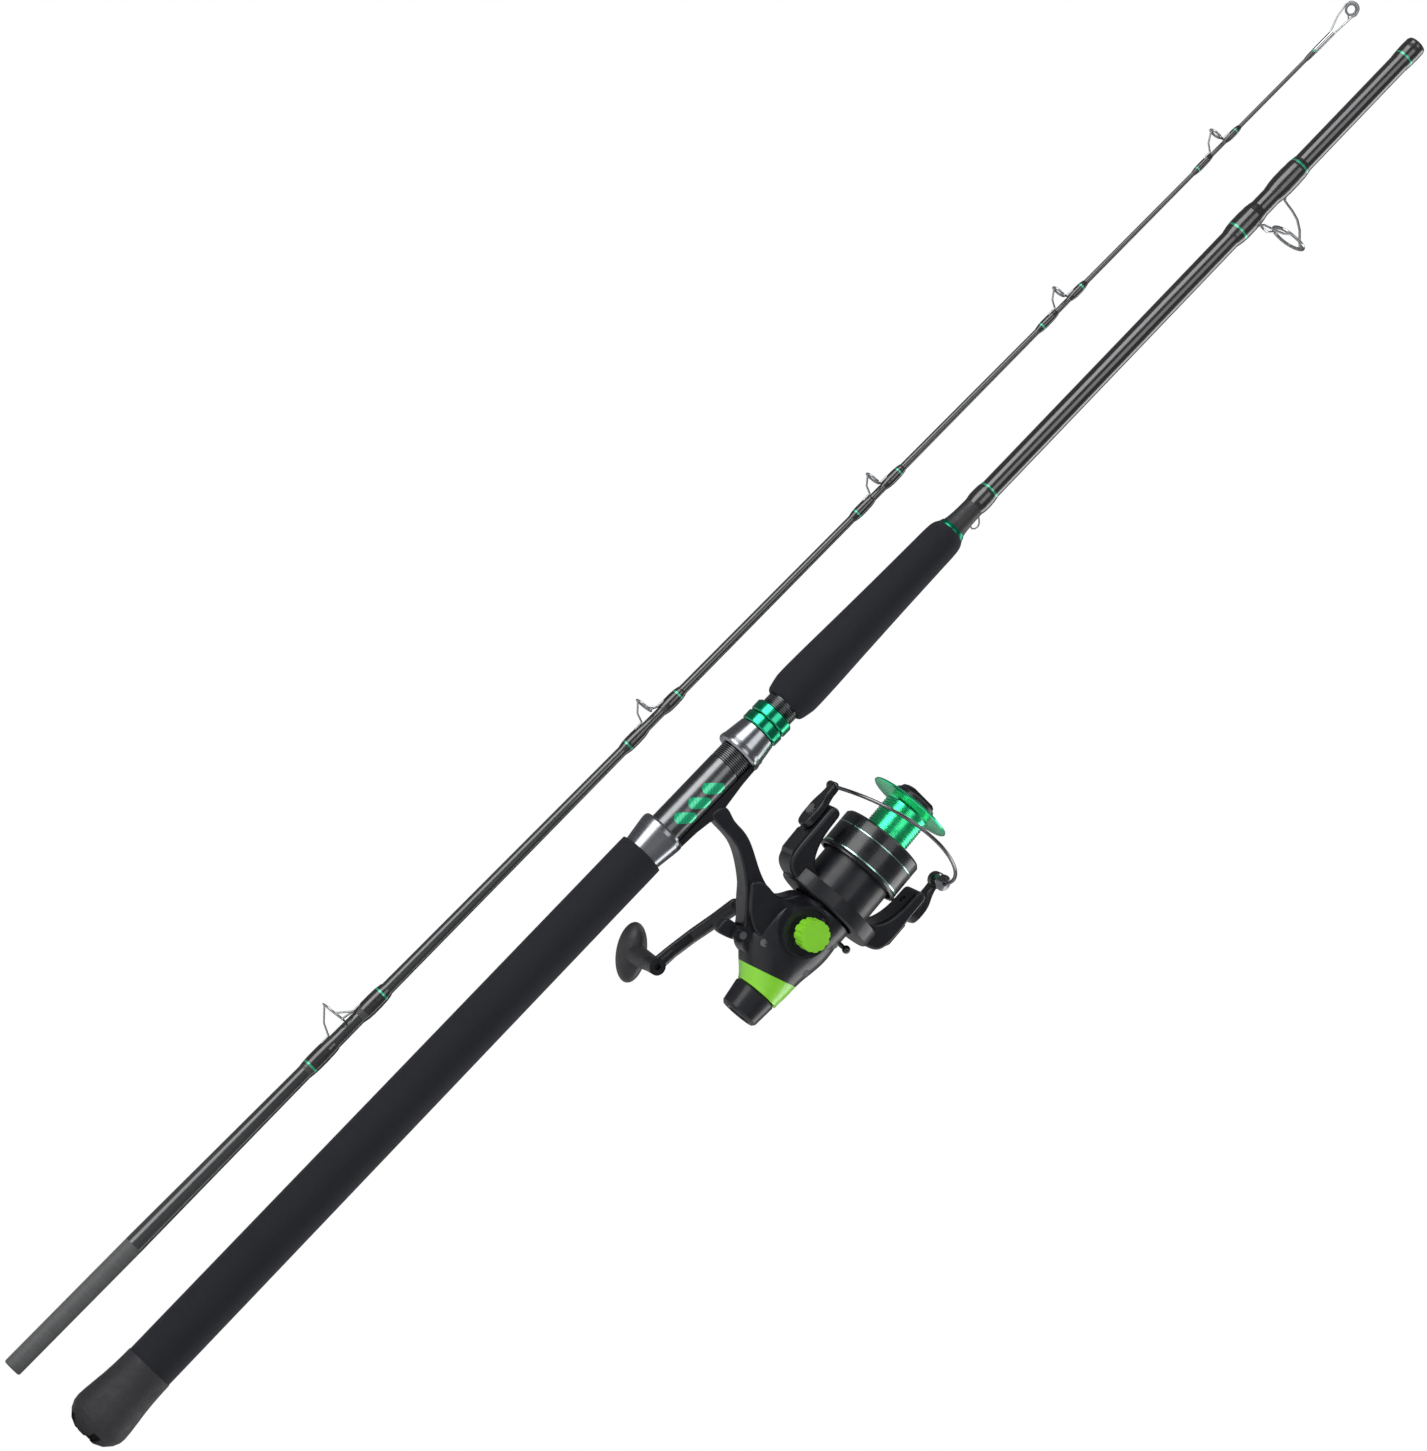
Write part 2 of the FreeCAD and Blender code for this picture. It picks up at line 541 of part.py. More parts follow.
def crank_set():
    cx, cz = CRANK
    shaft = y_disc(4.0, cx, cz, -21.5, 24.0)
    gear_disc = gear(DRIVE_TEETH, 0.54, 5.6, 8.6, cx, cz, 3.0)
    hub = y_disc(7.5, cx, cz, 8.6, 12.6)
    cam_drive = gear(CAM_DRIVE_TEETH, 1.0, -9.6, -6.6, cx, cz, 3.0)
    save("drive_gear", on_reel(fuse([shaft, gear_disc, hub, cam_drive])))
    flutes = y_disc(9.5, cx, cz, -31.0, -22.2)
    for i in range(12):
        a = 2 * math.pi * i / 12
        flutes = flutes.cut(y_disc(1.25, cx + 10.1 * math.cos(a), cz + 10.1 * math.sin(a), -32, -21))
    stem = y_disc(5.0, cx, cz, -22.4, -20.0).cut(y_disc(4.0, cx, cz, -23, -19))
    cap = fuse([flutes, stem]).cut(y_disc(4.0, cx, cz, -21.6, -19))
    save("handle_cap", on_reel(cap))
    wx, wz = reel_point(cx, cz)
    hub_shape = fuse([y_disc(6.2, wx, wz, 20.6, 34.0), y_disc(8.2, wx, wz, 20.6, 24.0)])
    save("crank_hub", hub_shape.cut(y_disc(4.0, wx, wz, 20, 24.0)))
    tx, tz = HANDLE_TIP
    limb = flat_limb(ARM_PATH, ARM_HALF_WIDTH, ARM_FLATNESS)
    boss = y_disc(5.2, tx, tz, 51.8, 59.5)
    socket = Part.Face(Part.makePolygon([V(tx + 2.2 * math.sin(math.pi * i / 3), 51.8,
                                           tz + 2.2 * math.cos(math.pi * i / 3))
                                         for i in range(7)])).extrude(V(0, 2.5, 0))
    room = box(60, 130, 10, 34.0, 400, 500)
    save("handle_arm", biggest(fuse([limb, boss]).cut(room).cut(socket)))
    post = fuse([y_disc(2.6, tx, tz, 59.5, KNOB_CENTRE_Y + 7.6), y_disc(3.6, tx, tz, KNOB_CENTRE_Y + 7.6,
                                                                        KNOB_CENTRE_Y + 9.2)])
    save("knob_post", post)
    squeeze = FreeCAD.Matrix()
    squeeze.scale(V(*KNOB_SEMI))
    blade = Part.makeSphere(1.0).transformGeometry(squeeze)
    blade.translate(V(0, KNOB_CENTRE_Y, 0))
    neck = Part.makeCone(5.0, 6.6, 22.0, V(0, 60.2, 0), Y)
    head_room = y_disc(3.9, 0, 0, KNOB_CENTRE_Y + 7.3, KNOB_CENTRE_Y + 15)
    knob = fuse([blade, neck]).cut(y_disc(2.68, 0, 0, 55, KNOB_CENTRE_Y + 15)).cut(head_room)
    knob.rotate(V(0, 0, 0), Y, -KNOB_TURN)
    knob.translate(V(tx, 0, tz))
    save("handle_knob", knob)
    camx, camz = CAM
    cam = gear(CAM_TEETH, 1.0, -9.6, -6.6, 0, 0, 1.6)
    cam.rotate(V(0, 0, 0), Y, mesh_turn(CAM_DRIVE_TEETH, CAM_TEETH, camx - cx, camz - cz))
    cam.translate(V(camx, 0, camz))
    save("oscillation_gear", on_reel(cam))
    save("cam_pin", on_reel(y_disc(1.55, camx, camz, -12.4, -6.2)))


def flat_limb(path, half_widths, flatness):
    """Tapering round limb through the points, flattened in Y."""
    pts = [V(x, y / flatness, z) for x, y, z in path]
    limb = Part.makeSphere(half_widths[0], pts[0])
    for a, b, ra, rb in zip(pts, pts[1:], half_widths, half_widths[1:]):
        span = b - a
        limb = limb.fuse(Part.makeCone(ra, rb, span.Length, a, span)).fuse(Part.makeSphere(rb, b))
    press = FreeCAD.Matrix()
    press.scale(V(1, flatness, 1))
    return limb.transformGeometry(press)


def rotor_set():
    base = Part.Face(Part.Wire(Part.Ellipse(V(0, 0, ROTOR_RIM_Z), 34.0, 24.0).toShape())).extrude(
        V(0, 0, ROTOR_TOP_Z - ROTOR_RIM_Z))
    low_rim = [e for e in base.Edges if len(e.Vertexes) == 1 and e.BoundBox.ZMax < ROTOR_RIM_Z + 0.1]
    base = base.makeFillet(1.8, low_rim)
    drum = rod(DRUM_R, (0, 0, 20), (0, 0, DRUM_TOP)).cut(rod(19.4, (0, 0, 27), (0, 0, 60)))
    hub = rod(7.0, (0, 0, 22.9), (0, 0, 30.0))
    cup = rod(20.6, (0, 0, 10), (0, 0, 22.9))
    half_u = [(0, 15.6), (22.0, 15.6), (34.0, 16.6), (40.6, 20.2), (43.2, 28.0), (43.4, 44.0),
              (43.3, 57.0), (42.2, ARM_TOP - 0.8),
              (39.4, ARM_TOP), (36.4, ARM_TOP - 1.2), (35.4, 57.0), (34.6, 46.0), (32.2, 37.0),
              (27.5, 30.0), (20.0, 26.6), (0, 26.0)]
    other = [(-x, z) for x, z in half_u[1:-1]][::-1]
    arms = [smooth_prism(half_u + other, -ARM_HALF, ARM_HALF, 2.6)]
    holes = [rod(2.1, (33, 0, BAIL_PIVOT_Z), (45, 0, BAIL_PIVOT_Z)), rod(2.1, (-33, 0, BAIL_PIVOT_Z),
                                                                         (-45, 0, BAIL_PIVOT_Z))]
    spring_room = box(37.6, 41.2, -5.5, 5.5, 30.0, 48.0)
    rotor = fuse([base, drum, hub] + arms).cut(cup).cut(rod(4.22, (0, 0, 10), (0, 0, 40)))
    for h in holes:
        rotor = rotor.cut(h)
    rotor = rotor.cut(spring_room)
    save("rotor", on_reel(rotor))
    pinion_pts = []
    for i in range(PINION_TEETH):
        for share, r in ((-0.32, 3.55), (-0.12, 5.0), (0.12, 5.0), (0.32, 3.55)):
            a = 2 * math.pi * (i + share) / PINION_TEETH
            pinion_pts.append(V(r * math.sin(a), r * math.cos(a), 4.5))
    pinion_pts.append(pinion_pts[0])
    teeth = Part.Face(Part.makePolygon(pinion_pts)).extrude(V(0, 0, 8.6))
    pinion = fuse([teeth, rod(4.2, (0, 0, 13.0), (0, 0, 34.5))]).cut(rod(SHAFT_R + 0.06, (0, 0, 0),
                                                                         (0, 0, 40)))
    save("pinion_gear", on_reel(pinion))
    hexagon = [V(7.5 * math.sin(math.pi * i / 3), 7.5 * math.cos(math.pi * i / 3), 30.0) for i in range(7)]
    nut = Part.Face(Part.makePolygon(hexagon)).extrude(V(0, 0, 3.6)).cut(rod(4.2, (0, 0, 29), (0, 0, 35)))
    save("rotor_nut", on_reel(nut))
    cover = prism([(43.0, 24.6), (44.2, 27.0), (44.4, 41.0), (43.0, 43.2)], -7.0, 7.0)
    mirror = prism([(-43.0, 43.2), (-44.4, 41.0), (-44.2, 27.0), (-43.0, 24.6)], -7.0, 7.0)
    save("arm_covers", on_reel(cover.cut(rotor)), on_reel(mirror.cut(rotor)))
    coils = [Part.makeTorus(1.35, 0.3, V(39.4, 0, 31.5 + 1.4 * i), Z) for i in range(11)]
    stem = rod(1.2, (39.4, 0, 30.6), (39.4, 0, 47.0))
    save("bail_spring", on_reel(fuse([stem] + coils)))


def bail_set():
    rx, ry, rz = ROLLER
    slope = math.tan(math.radians(WIRE_TILT))
    path = []
    for i in range(31):
        a = math.radians(180 + 171.0 * i / 30)
        x, y = WIRE_LOOP_R * math.cos(a), WIRE_LOOP_R * math.sin(a)
        path.append(V(x, y, WIRE_Z + slope * x + WIRE_RISE * max(0.0, -math.sin(a)) ** 1.5))
    spine = Part.BSplineCurve()
    spine.interpolate(path)
    section = Part.Wire(Part.Circle(path[0], spine.tangent(spine.FirstParameter)[0], WIRE_R).toShape())
    hoop = Part.Wire(spine.toShape()).makePipeShell([section], True, True)
    bell = Part.makeCone(1.6, 5.0, 2.4, V(rx, path[-1].y - 0.4, rz), Y)
    save("bail_wire", on_reel(fuse([hoop, bell])))
    lever = smooth_arm([(0.0, -11.0), (5.0, -8.5), (6.4, -1.0), (5.8, 7.0), (3.9, 14.0), (3.0, 19.2),
                        (0.4, 21.0),
                        (-2.4, 19.2), (-3.1, 14.0), (-5.6, 7.0), (-6.4, -1.0), (-5.0, -8.5)], -49.0, -43.9)
    lever.translate(V(0, 0, BAIL_PIVOT_Z))
    socket = Part.makeCylinder(2.6, 6.0, path[0] + V(0, -0.4, 0), Y)
    save("bail_pivot_arm", on_reel(fuse([lever, socket])))
    right = smooth_arm([(0.0, -7.5), (4.8, -6.0), (6.4, 0.0), (6.0, 7.0), (5.3, 13.0), (5.5, 18.0),
                        (5.6, 23.0),
                        (3.6, 27.2), (1.6, 23.0), (1.0, 18.0), (-1.8, 12.0), (-5.0, 7.0), (-6.4, 0.0),
                        (-4.8, -6.0)], 44.4, 49.4)
    right.translate(V(0, 0, BAIL_PIVOT_Z))
    lug = y_disc(5.0, rx, rz, 1.0, 5.2)
    save("roller_arm", on_reel(fuse([right, lug])))
    axle = y_disc(1.55, rx, rz, -7.0, 1.0)
    pins = []
    for side in (-1, 1):
        a, b = side * 36.5, side * (43.9 if side < 0 else 44.4)
        pins.append(rod(2.03, (a, 0, BAIL_PIVOT_Z), (b, 0, BAIL_PIVOT_Z)))
        top = side * (49.0 if side < 0 else 49.4)
        pins.append(rod(3.2, (top, 0, BAIL_PIVOT_Z), (top + side * 1.0, 0, BAIL_PIVOT_Z)))
    save("bail_screws", on_reel(axle), *[on_reel(p) for p in pins])
    roller = Part.Face(Part.makePolygon([V(rx + r, y, rz) for r, y in (
        (1.6, -4.7), (4.3, -4.7), (4.3, -4.2), (3.5, -2.4), (3.5, -1.6), (4.3, 0.2), (4.3, 0.7),
        (1.6, 0.7), (1.6, -4.7))]))
    save("line_roller", on_reel(roller.revolve(V(rx, 0, rz), Y, 360)))


def smooth_arm(points, x0, x1):
    """Smooth closed outline in YZ pushed along X."""
    curve = Part.BSplineCurve()
    curve.interpolate([V(x0, y, z) for y, z in points], PeriodicFlag=True)
    solid = Part.Face(Part.Wire(curve.toShape())).extrude(V(x1 - x0, 0, 0))
    return round_rims(solid, 1.1, lambda b: b.XMax - b.XMin < 0.01)


def shaft_and_spool():
    save("main_shaft", on_reel(rod(SHAFT_R, (0, 0, -31.0), (0, 0, 100.0))))
    block = box(-12, 4.6, -5.4, 3.6, -18.0, -11.6).cut(rod(SHAFT_R, (0, 0, -20), (0, 0, -10)))
    slot = box(-11.0, 2.0, -5.5, -3.4, -16.4, -13.0)
    save("crosshead", on_reel(block.cut(slot)))
    z0, z1 = SKIRT_Z
    skirt = lathe([(25.1, z0), (27.1, z0), (27.2, z0 + 0.9), (SKIRT_R, z0 + 2.4), (SKIRT_R, z1 - 1.6),
                   (SKIRT_R - 1.2, z1 - 0.2), (24.6, z1),
                   (ARBOR_R, z1), (ARBOR_R, z1 - 2.0), (25.0, z1 - 2.2)])
    grooves = [tube(28.0, SKIRT_R - 0.35, 62.0, 62.5), tube(28.0, SKIRT_R - 0.35, z0 + 2.6, z0 + 3.4)]
    save("spool_skirt", on_reel(skirt.cut(grooves[0]).cut(grooves[1])))
    save("spool_trim_rings", on_reel(tube(SKIRT_R + 0.08, SKIRT_R - 0.35, 62.0, 62.5)),
         on_reel(tube(SKIRT_R + 0.12, SKIRT_R - 0.35, z0 + 2.6, z0 + 3.4)))
    pts = [(11.4, z1 - 2.0), (ARBOR_R, z1 - 2.0), (ARBOR_R, z1 + 1.2)]
    z = z1 + 1.2
    while z < 89.0:
        pts += [(ARBOR_R - 0.45, z + 0.35), (ARBOR_R - 0.45, z + 0.95), (ARBOR_R, z + 1.3),
                (ARBOR_R, z + 1.7)]
        z += 1.7
    pts += [(ARBOR_R, 91.6), (15.2, 92.6), (FLANGE_R - 0.7, FLANGE_Z[0]), (FLANGE_R, FLANGE_Z[0] + 0.7),
            (FLANGE_R - 0.4, FLANGE_Z[1]), (23.5, 96.2), (14.6, 96.2), (14.6, 95.0), (11.4, 95.0),
            (11.4, 84.0),
            (SHAFT_R + 0.06, 84.0), (SHAFT_R + 0.06, 80.5), (11.4, 80.5)]
    save("spool_core", on_reel(lathe(pts)))
    save("drag_washers", *[on_reel(tube(10.8, SHAFT_R + 0.2, z, z + 1.4)) for z in (84.0, 86.0, 88.0)],
         *[on_reel(tube(6.2, SHAFT_R + 0.2, z, z + 0.6)) for z in (85.4, 87.4)])
    k0, k1 = FRONT_KNOB_Z
    knob = lathe([(0, k1), (9.5, k1), (11.2, k1 - 0.9), (12.2, k1 - 3.0), (13.2, k1 - 3.6),
                  (FRONT_KNOB_R, k1 - 5.0), (FRONT_KNOB_R, k0),
                  (5.6, k0), (5.6, 90.2), (3.2, 90.2), (3.2, 99.0), (SHAFT_R + 0.06, 99.0),
                  (SHAFT_R + 0.06, 100.6), (0, 100.6)])
    for side in (-1, 1):
        knob = knob.cut(box(-15, 15, *sorted((side * 5.2, side * 15)), k1 - 3.0, k1 + 1))
    save("front_drag_knob", on_reel(knob))
    r0, r1 = REAR_KNOB_R
    q0, q1 = REAR_KNOB_Z
    rear = lathe([(0, q0 + 1.2), (8.0, q0 + 1.2), (8.4, q0), (r0 - 1.4, q0), (r0, q0 + 1.6),
                  (r1, q1 - 1.0), (r1 - 0.6, q1), (4.4, q1), (4.4, -58.0), (0, -58.0)])
    for i in range(10):
        a = 2 * math.pi * i / 10
        rear = rear.cut(rod(1.1, (14.2 * math.cos(a), 14.2 * math.sin(a), q0 - 2),
                            (14.6 * math.cos(a), 14.6 * math.sin(a), q1 - 3)))
    rear = rear.cut(box(-9, 9, -1.0, 1.0, q0 - 1, q0 + 2.0))
    save("rear_drag_knob", on_reel(rear))


def levers():
    px, pz = LEVER
    tab = smooth_prism([(px + 3.2, pz + 1.5), (px + 2.6, pz - 2.8), (px - 3.5, pz - 6.6),
                        (px - 10.6, pz - 7.4), (px - 11.6, pz - 3.0),
                        (px - 11.2, pz + 0.6), (px - 7.0, pz + 2.6), (px - 1.0, pz + 3.4)], -3.0, 3.0, 1.0)
    save("baitfeeder_lever", tab.cut(y_disc(1.3, px, pz, -4, 4)))
    save("lever_pin", fuse([y_disc(1.25, px, pz, -9.0, 9.0), y_disc(2.3, px, pz, -10.2, -7.2),
                            y_disc(2.3, px, pz, 7.2, 10.2)]))
    x0, y0, z0 = SWITCH
    stem = rod(1.45, (x0 - 6.6, y0, z0), (x0 + 0.4, y0, z0))
    neck = rod(1.3, (x0 + 0.2, y0, z0), (x0 + 2.0, y0 - 1.6, z0))
    ball = Part.makeSphere(2.5, V(x0 + 2.4, y0 - 2.0, z0))
    save("anti_reverse_lever", on_reel(fuse([stem, neck, ball])))


# ---------------------------------------------------------------- tip section

def tip_r(z):
    for (z0, r0), (z1, r1) in zip(TIP_PROFILE, TIP_PROFILE[1:]):
        if z <= z1:
            return r0 + (r1 - r0) * (z - z0) / (z1 - z0)
    return TIP_PROFILE[-1][1]


def tip_section():
    save("tip_spigot", on_tip(lathe([(0, 0), (SPIGOT_R - 0.7, 0), (SPIGOT_R, 0.8),
                                     (SPIGOT_R, SPIGOT_LENGTH),
                                     (0, SPIGOT_LENGTH)])))
    outline = [(0, SPIGOT_LENGTH)] + [(r, z) for z, r in TIP_PROFILE] + [(0, TIP_PROFILE[-1][0])]
    blank = lathe(outline)
    save("tip_blank", on_tip(blank))
    wraps, bands, frames, rings = [], [], [], []
    for low, high, wrap_r, ring_z, offset, ring_r in GUIDES:
        for (z0, z1), band_z in ((low, low[0] + 3.4), (high, high[1] - 4.4)):
            wrap = bulge(z0, z1, tip_r(z0) + 0.12, wrap_r, 0.5)
            wide = 0.9 + 0.06 * wrap_r
            ring = tube(wrap_r + 0.3, 0.5, band_z, band_z + wide)
            bands.append(wrap.common(ring).cut(blank))
            wraps.append(wrap.cut(ring).cut(blank))
        frames.append(tip_guide_frame(low, high, wrap_r, ring_z, offset, ring_r))
        centre = V(-offset, 0, ring_z)
        ceramic = Part.makeTorus(ring_r - 1.15, 0.6, centre, V(-0.12, 0, 1))
        rings.append(ceramic)
    z0, z1 = TIP_TUBE_Z
    tube_part = tube(1.75, 1.0, z0 + 2.6, z1)
    bands.append(tube(1.62, 1.0, z0 + 1.4, z0 + 2.6).cut(blank))
    wraps.append(lathe([(1.0, z0 - 5), (1.35, z0 - 5), (1.6, z0 - 2), (1.62, z0 + 1.4),
                        (1.0, z0 + 1.4)]).cut(blank))
    save("tip_wraps", *[on_tip(w) for w in wraps])
    save("tip_trim_bands", *[on_tip(b) for b in bands])
    save("tip_guide_frames", *[on_tip(f) for f in frames])
    rings.append(Part.makeTorus(3.2, 0.75, V(TIP_RING[0], -2.6, TIP_RING[1]), V(0, -0.96, -0.28)))
    save("tip_guide_rings", *[on_tip(r) for r in rings])
    save("tip_top_frame", on_tip(tip_top(tube_part.cut(blank))))


def tip_guide_frame(low, high, wrap_r, ring_z, offset, ring_r):
    """Two-foot wire guide on the side of the blank away from the reel."""
    wire_r = 0.55
    loop = Part.makeTorus(ring_r, wire_r, V(-offset, 0, ring_z), V(-0.12, 0, 1))
    foot = wrap_r - 0.1
    outer = (-offset - ring_r * 0.99, 0, ring_z - ring_r * 0.12)
    brace = wire([(-foot, 0, low[1] - 5.0), (-foot - 0.1, 0, low[1] + 0.6),
                  ((-foot + outer[0]) / 2, 0, low[1] * 0.55 + outer[2] * 0.45 - 1.2), outer], wire_r)
    legs = []
    for side in (-1, 1):
        a = math.radians(62)
        x = -offset + ring_r * math.cos(a) * 0.99
        y = side * ring_r * math.sin(a)
        legs.append(wire([(-foot, 0, high[0] + 5.0), (-foot - 0.1, side * 0.1, high[0] - 0.4),
                          (x, y, ring_z + ring_r * 0.06)], wire_r))
    return fuse([loop, brace] + legs)


def tip_top(barrel):
    """End ring's wire: a teardrop from the tube up around the ring."""
    cx, cz = TIP_RING
    top = TIP_TUBE_Z[1]
    up = V(0, -0.28, 0.96)
    centre = V(cx, -2.6, cz)
    head = arc_points(centre, X, up, 4.7, -28, 208, 16)
    path = [(0.9, 0, top - 2.0), (1.2, -0.2, top + 3.0)] + head + [(-5.6, -0.9, top + 8.0),
                                                                   (-0.9, 0, top - 2.0)]
    stem = rod(1.05, (0, 0, top - 2.4), (0, 0, top + 0.4))
    inner = wire([(1.3, -0.2, top + 3.0), (0.6, -1.5, cz - 4.4)], 0.45)
    bridge = wire([(0.6, -1.5, cz - 4.4), (centre.x + 1.4, centre.y + 0.85, centre.z - 3.1)], 0.45)
    return fuse([barrel, stem, wire(path, 0.55), inner, bridge])


def main():
    os.makedirs("parts", exist_ok=True)
    butt_section()
    butt_wraps()
    stripper_guide()
    seat_tube()
    hoods()
    reel_body_parts()
    reel_fixed_internals()
    crank_set()
    rotor_set()
    bail_set()
    shaft_and_spool()
    levers()
    tip_section()
    print(len(saved), "nodes")


main()
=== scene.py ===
import math

import bmesh
import bpy
from mathutils import Matrix, Vector


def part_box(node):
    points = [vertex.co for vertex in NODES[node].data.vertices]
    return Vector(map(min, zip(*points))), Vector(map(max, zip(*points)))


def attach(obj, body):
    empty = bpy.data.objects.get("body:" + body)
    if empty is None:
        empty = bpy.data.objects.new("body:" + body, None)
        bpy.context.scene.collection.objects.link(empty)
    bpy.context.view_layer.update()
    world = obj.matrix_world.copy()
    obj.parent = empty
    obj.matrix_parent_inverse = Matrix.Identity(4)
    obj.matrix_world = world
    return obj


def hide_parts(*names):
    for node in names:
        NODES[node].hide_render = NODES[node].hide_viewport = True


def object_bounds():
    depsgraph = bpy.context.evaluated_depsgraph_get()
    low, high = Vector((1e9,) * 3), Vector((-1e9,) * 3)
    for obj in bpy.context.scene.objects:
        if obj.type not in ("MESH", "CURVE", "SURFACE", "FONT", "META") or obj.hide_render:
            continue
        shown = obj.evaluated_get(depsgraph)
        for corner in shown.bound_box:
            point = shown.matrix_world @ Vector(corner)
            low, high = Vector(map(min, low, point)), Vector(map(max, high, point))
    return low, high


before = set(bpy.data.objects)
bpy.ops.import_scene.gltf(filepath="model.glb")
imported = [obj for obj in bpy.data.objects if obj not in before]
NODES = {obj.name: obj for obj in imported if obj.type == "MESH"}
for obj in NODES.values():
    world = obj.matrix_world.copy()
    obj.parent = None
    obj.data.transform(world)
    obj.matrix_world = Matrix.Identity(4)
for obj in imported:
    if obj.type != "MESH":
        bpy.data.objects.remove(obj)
CAD_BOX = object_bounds()

# The shared frame's origin is within a millimetre of the rear grip's middle; heights here are from the floor.
FLOOR = CAD_BOX[0].z
# The camera's place in metres, its lens in millimetres, and its turn about the upright, rise and roll.
CAMERA_AT = Vector((-0.9698, -2.0304, FLOOR + 0.110))
CAMERA_TURN = math.radians(25.0)
CAMERA_RISE = math.radians(10.487)
CAMERA_ROLL = math.radians(43.88)
CAMERA_LENS = 99.58
ROOM_LIGHT = 0.16
FLOOR_HALF = 6.0
FLOOR_DROP = 0.0005
AIM_HEIGHT = 0.55
# name, place in metres with its height from the floor, width and height of the panel, watts
SOFTBOXES = (
    ("key", (-2.0, -0.6, 0.9), (1.4, 2.4), 44.0),
    ("front_fill", (-0.2, -2.6, 1.6), (1.5, 1.5), 15.0),
    ("rim", (1.7, -0.2, 1.0), (0.9, 2.2), 20.0),
    ("top", (0.2, 0.4, 2.7), (1.5, 1.5), 15.0),
)
# Both foam grips, in millimetres: the bore, and the foregrip's length and the wider bore at its foot.
BORE_R = 6.2
FOREGRIP_LENGTH = 140.7
FOOT_BORE_R = 9.8
FOOT_BORE_DEPTH = 13.2


# ---------------------------------------------------------------- node materials

class Graph:
    """A short way to build one material's node tree, with its pattern in the object's own coordinates."""

    def __init__(self, name):
        self.mat = bpy.data.materials.new(name)
        self.mat.use_nodes = True
        self.tree = self.mat.node_tree
        self.shader = self.tree.nodes["Principled BSDF"]
        self.where = self.add("ShaderNodeTexCoord").outputs["Object"]

    def add(self, kind, **sockets):
        node = self.tree.nodes.new(kind)
        for key, value in sockets.items():
            self.put(node.inputs[key.replace("_", " ")], value)
        return node

    def put(self, socket, value):
        if isinstance(value, bpy.types.NodeSocket):
            self.tree.links.new(value, socket)
        else:
            socket.default_value = value

    def stretched(self, scale):
        node = self.add("ShaderNodeMapping", Vector=self.where)
        node.inputs["Scale"].default_value = scale
        return node.outputs["Vector"]

    def noise(self, scale, detail=4.0, rough=0.55, stretch=None):
        where = self.stretched(stretch) if stretch else self.where
        node = self.add("ShaderNodeTexNoise", Vector=where, Scale=scale, Detail=detail, Roughness=rough)
        return node.outputs["Fac"]

    def cells(self, scale):
        node = self.add("ShaderNodeTexVoronoi", Vector=self.where, Scale=scale)
        return node.outputs["Distance"]

    def bands(self, scale, direction="Z", distortion=0.0):
        node = self.add("ShaderNodeTexWave", Vector=self.where, Scale=scale, Distortion=distortion)
        node.bands_direction = direction
        return node.outputs["Fac"]

    def spread(self, value, low, high, start=0.3, end=0.7):
        node = self.add("ShaderNodeMapRange", Value=value)
        for key, number in (("From Min", start), ("From Max", end), ("To Min", low), ("To Max", high)):
            node.inputs[key].default_value = number
        return node.outputs["Result"]

    def tint(self, value, dark, light, start=0.3, end=0.7):
        node = self.add("ShaderNodeValToRGB", Fac=value)
        node.color_ramp.elements[0].position = start
        node.color_ramp.elements[1].position = end
        node.color_ramp.elements[0].color = (*dark, 1.0)
        node.color_ramp.elements[1].color = (*light, 1.0)
        return node.outputs["Color"]

    def blend(self, factor, under, over, kind="MIX"):
        node = self.add("ShaderNodeMix")
        node.data_type = "RGBA"
        node.blend_type = kind
        for number, value in ((0, factor), (6, under), (7, over)):
            self.put(node.inputs[number], value)
        return node.outputs[2]

    def bump(self, height, strength, distance):
        under = self.shader.inputs["Normal"]
        node = self.add("ShaderNodeBump", Height=height, Strength=strength, Distance=distance)
        if under.is_linked:
            self.tree.links.new(under.links[0].from_socket, node.inputs["Normal"])
        self.tree.links.new(node.outputs["Normal"], under)

    def set(self, **sockets):
        for key, value in sockets.items():
            self.put(self.shader.inputs[key.replace("_", " ")], value)


def shade(color, factor):
    return tuple(min(1.0, c * factor) for c in color)


def plastic(name, color, rough=0.4, coat=0.0, vary=0.12, grain=1400.0, grain_depth=0.00004, spec=0.5):
    """Moulded or painted shell: faint cloudy colour, uneven gloss, fine grain."""
    g = Graph(name)
    clouds = g.noise(45.0)
    g.set(Base_Color=g.tint(clouds, shade(color, 1 - vary), shade(color, 1 + vary)),
          Roughness=g.spread(g.noise(160.0, 6.0), rough - 0.05, rough + 0.06),
          Coat_Weight=coat, Coat_Roughness=0.06, Specular_IOR_Level=spec)
    g.bump(g.noise(grain, 3.0), 0.25, grain_depth)
    return g.mat


def metal(name, color, rough=0.25, stretch=(1.0, 1.0, 1.0), grain=900.0, depth=0.00002, vary=0.08, coat=0.0):
    """Machined or drawn metal with fine brushed streaks that run across the direction stretch enlarges."""
    g = Graph(name)
    streaks = g.noise(grain, 2.0, 0.5, stretch)
    g.set(Base_Color=g.tint(streaks, shade(color, 1 - vary), shade(color, 1 + vary)), Metallic=1.0,
          Roughness=g.spread(g.noise(35.0, 2.0), rough - 0.02, rough + 0.03),
          Coat_Weight=coat, Coat_Roughness=0.08)
    g.bump(streaks, 0.2, depth)
    return g.mat


